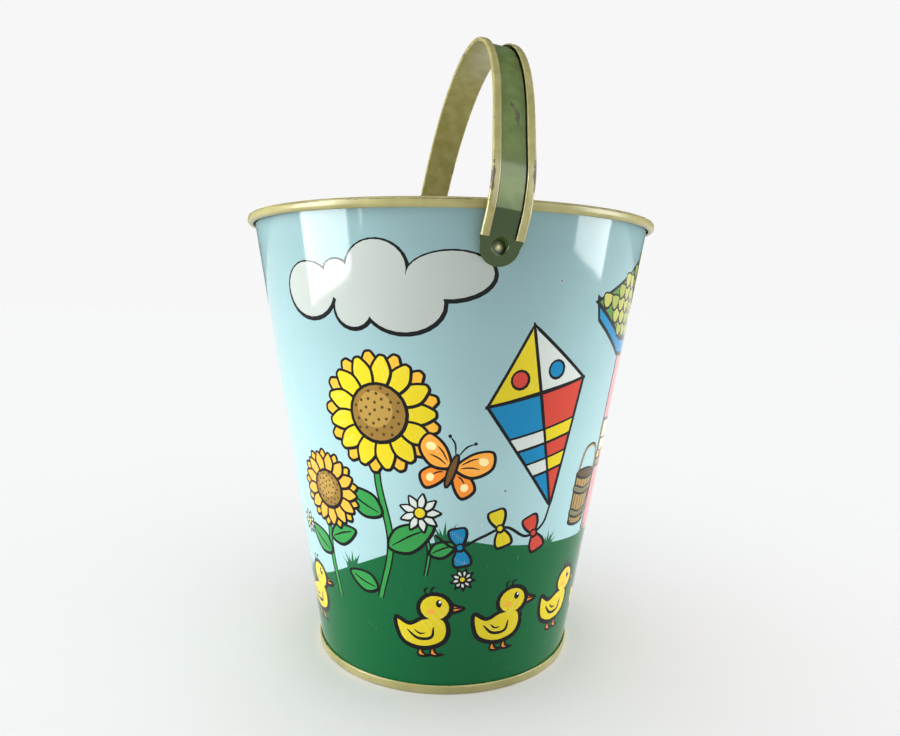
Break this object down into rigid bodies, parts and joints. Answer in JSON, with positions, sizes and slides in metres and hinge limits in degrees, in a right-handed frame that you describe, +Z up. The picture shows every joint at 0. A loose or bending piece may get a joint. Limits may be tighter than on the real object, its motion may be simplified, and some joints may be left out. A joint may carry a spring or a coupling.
{
  "type": "sand bucket",
  "caption": "Tapered toy sand bucket of printed tinplate with a rolled rim, a seamed base and a riveted strap bail that swings over the mouth.",
  "frame": {"origin": "centre of the pail's foot, on the surface it stands on", "axes": "+Z up along the pail's axis, Y along the two rivets with the front ear at -Y, the bail leaning towards +X at rest"},
  "size_m": [0.1896, 0.1994, 0.2855],
  "materials": {
    "printed_tin": "gloss lithographed enamel on tinplate",
    "cream_tin": "gloss cream lacquer on tinplate",
    "green_tin": "gloss leaf green enamel, cream on the back and on the rolled edges",
    "rivet_metal": "dull pale plating"
  },
  "bodies": {
    "pail": {"wall": "printed_tin", "base": "cream_tin", "rivet_front": "rivet_metal", "rivet_back": "rivet_metal"},
    "bail": {"handle": "green_tin"}
  },
  "joints": [
    {"name": "bail_swing", "type": "hinge", "parent": "pail", "child": "bail", "pos_m": [0, 0, 0.186], "axis": [0, 1, 0], "range_deg": [-125.5, 110.5]}
  ]
}
